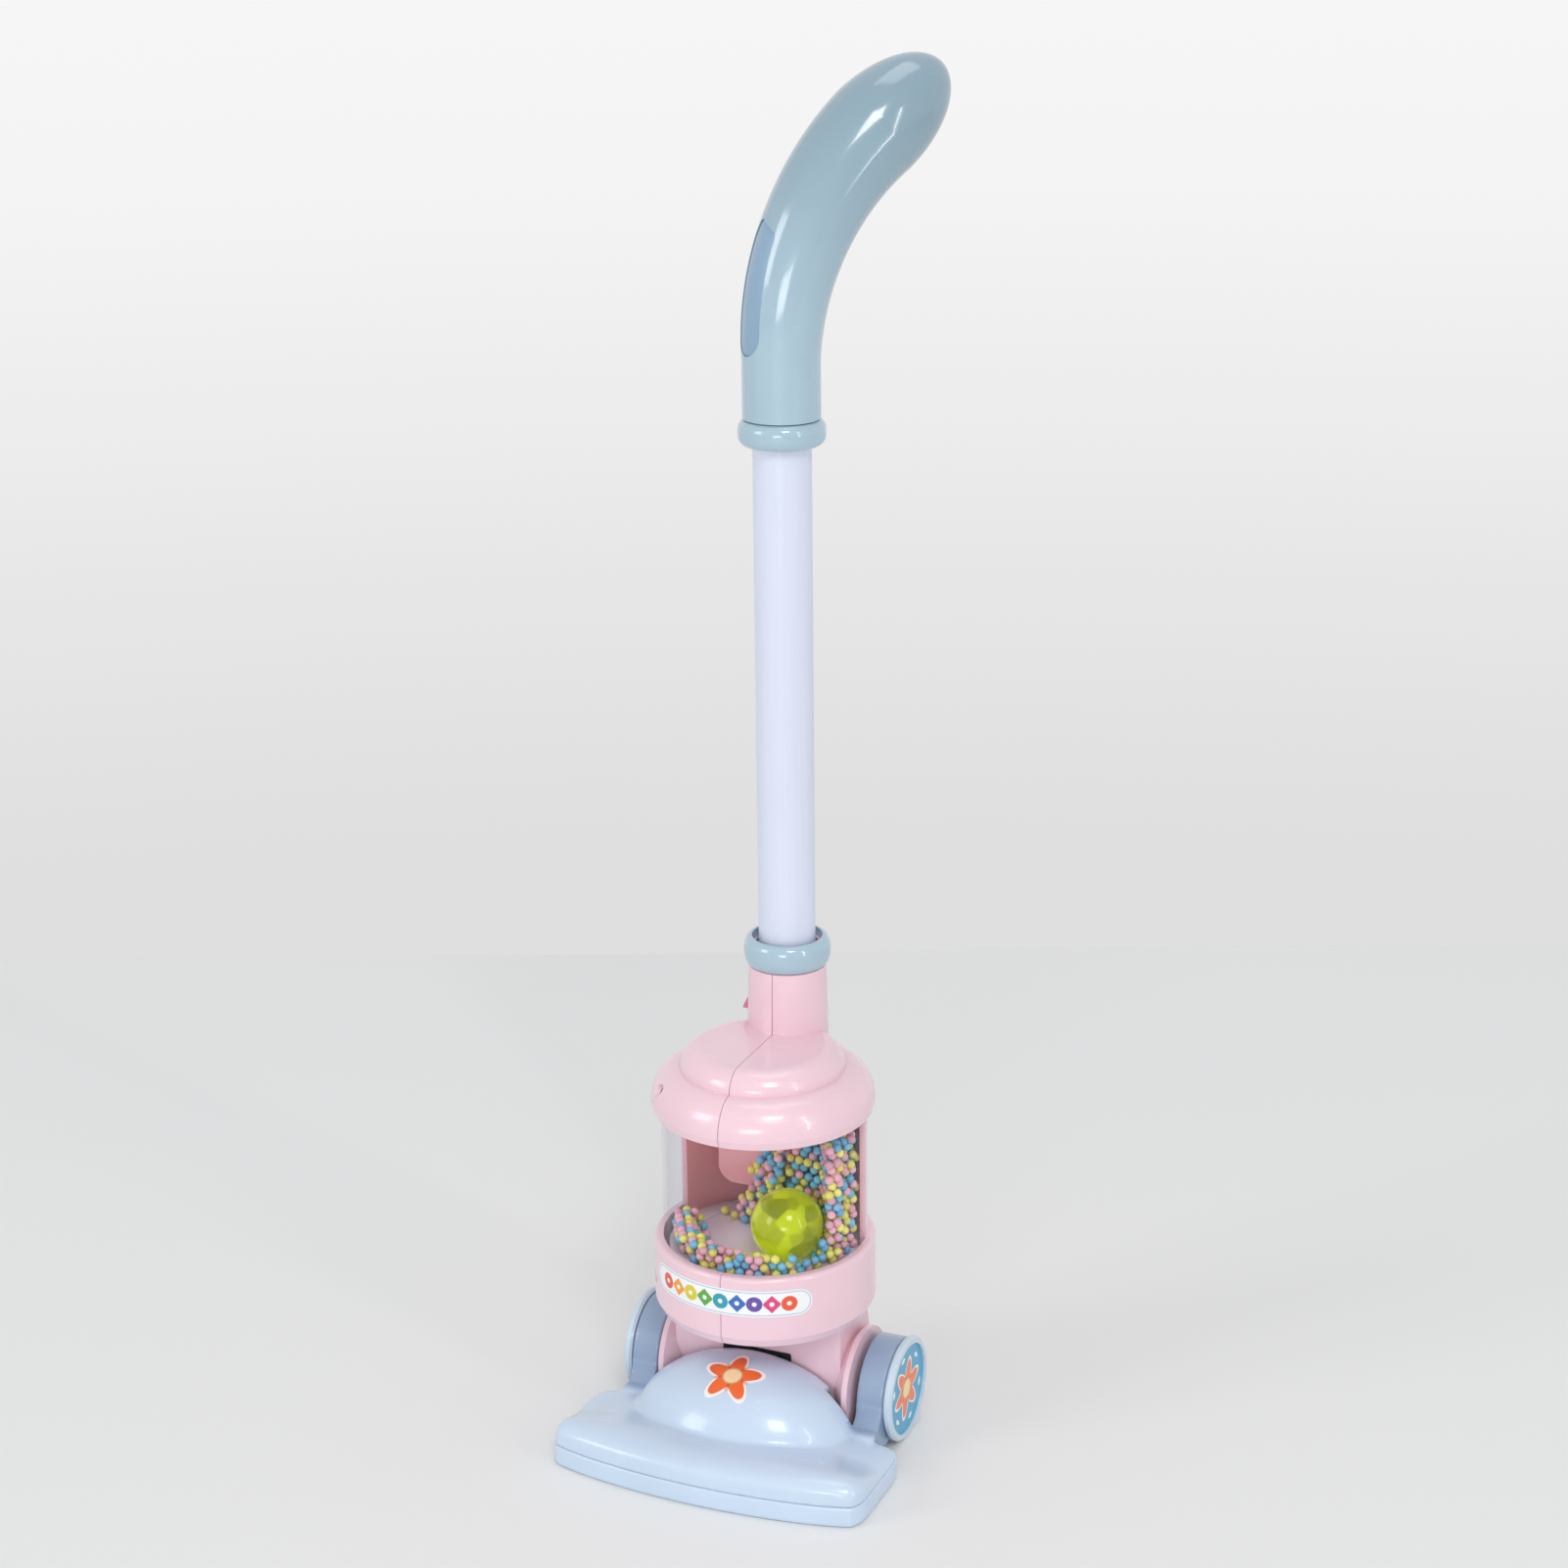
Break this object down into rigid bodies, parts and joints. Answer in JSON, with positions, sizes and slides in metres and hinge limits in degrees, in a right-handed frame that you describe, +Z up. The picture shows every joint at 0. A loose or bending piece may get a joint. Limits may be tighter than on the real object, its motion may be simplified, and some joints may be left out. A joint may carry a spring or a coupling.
{
  "type": "toy vacuum cleaner",
  "caption": "Toy upright vacuum cleaner: wheeled floor head, body that tilts back with a clear bead chamber, spinning disc and loose ball, and a tube with a curved grip.",
  "frame": {"origin": "middle of the bounding box on the floor, under the body near the axle", "axes": "+Z up along the tube, -Y towards the front edge of the floor head, +X to the right as seen from the front"},
  "size_m": [0.1476, 0.1738, 0.6016],
  "materials": {
    "head_plastic": "smooth moulded, soft gloss",
    "wheel_plastic": "smooth moulded",
    "pink_plastic": "smooth moulded, soft gloss",
    "grip_plastic": "smooth moulded, high gloss",
    "pad_plastic": "satin",
    "tube_plastic": "polished extruded",
    "clear_plastic": "clear polished",
    "white_plastic": "smooth moulded",
    "ball_plastic": "tinted clear",
    "bead_pink": "fine foam skin",
    "bead_blue": "fine foam skin",
    "bead_yellow": "fine foam skin",
    "knob_plastic": "smooth moulded",
    "dark_plastic": "moulded",
    "steel": "plain drawn",
    "cell": "printed sleeve",
    "label_white": "gloss printed",
    "label_cyan": "gloss printed"
  },
  "bodies": {
    "head": {"head_cover": "head_plastic", "base_tray": "head_plastic", "base_screws": "steel", "dome_label": "label_white", "axle": "steel", "axle_nuts": "steel"},
    "left_wheel": {"left_wheel": "wheel_plastic", "left_wheel_label": "label_cyan"},
    "right_wheel": {"right_wheel": "wheel_plastic", "right_wheel_label": "label_cyan"},
    "body": {"body_left_shell": "pink_plastic", "body_right_shell": "pink_plastic", "shell_screws": "steel", "clear_window": "clear_plastic", "chamber_floor": "white_plastic", "chamber_ceiling": "pink_plastic", "motor": "steel", "motor_clamp": "white_plastic", "battery_box": "pink_plastic", "batteries": "cell", "battery_springs": "steel", "battery_plates": "steel", "battery_door": "pink_plastic", "door_screw": "steel", "switch_body": "dark_plastic", "neck_ring": "grip_plastic", "front_label": "label_white", "beads_pink": "bead_pink", "beads_blue": "bead_blue", "beads_yellow": "bead_yellow"},
    "rotor": {"rotor": "white_plastic", "motor_shaft": "steel"},
    "switch": {"switch_knob": "knob_plastic"},
    "ball": {"ball_top": "ball_plastic", "ball_bottom": "ball_plastic"},
    "handle": {"tube": "tube_plastic", "grip_collar": "grip_plastic", "grip_left": "grip_plastic", "grip_right": "grip_plastic", "thumb_pad": "pad_plastic"}
  },
  "joints": [
    {"name": "body_tilt", "type": "hinge", "parent": "head", "child": "body", "pos_m": [0, 0.005, 0.0237], "axis": [-1, 0, 0], "range_deg": [0, 55]},
    {"name": "left_wheel_spin", "type": "hinge", "parent": "head", "child": "left_wheel", "pos_m": [-0.058, 0.005, 0.0237], "axis": [1, 0, 0], "continuous": true},
    {"name": "right_wheel_spin", "type": "hinge", "parent": "head", "child": "right_wheel", "pos_m": [0.058, 0.005, 0.0237], "axis": [1, 0, 0], "continuous": true},
    {"name": "rotor_spin", "type": "hinge", "parent": "body", "child": "rotor", "pos_m": [0, -0.0045, 0.09], "axis": [0, 0, 1], "continuous": true},
    {"name": "handle_turn", "type": "hinge", "parent": "body", "child": "handle", "pos_m": [0, 0.024, 0.21], "axis": [0, 0, 1], "continuous": true},
    {"name": "switch_slide", "type": "slide", "parent": "body", "child": "switch", "axis": [0, 0, 1], "range_m": [0, 0.004]},
    {"name": "ball_hop", "type": "slide", "parent": "body", "child": "ball", "axis": [0, 0, 1], "range_m": [0, 0.03]}
  ]
}
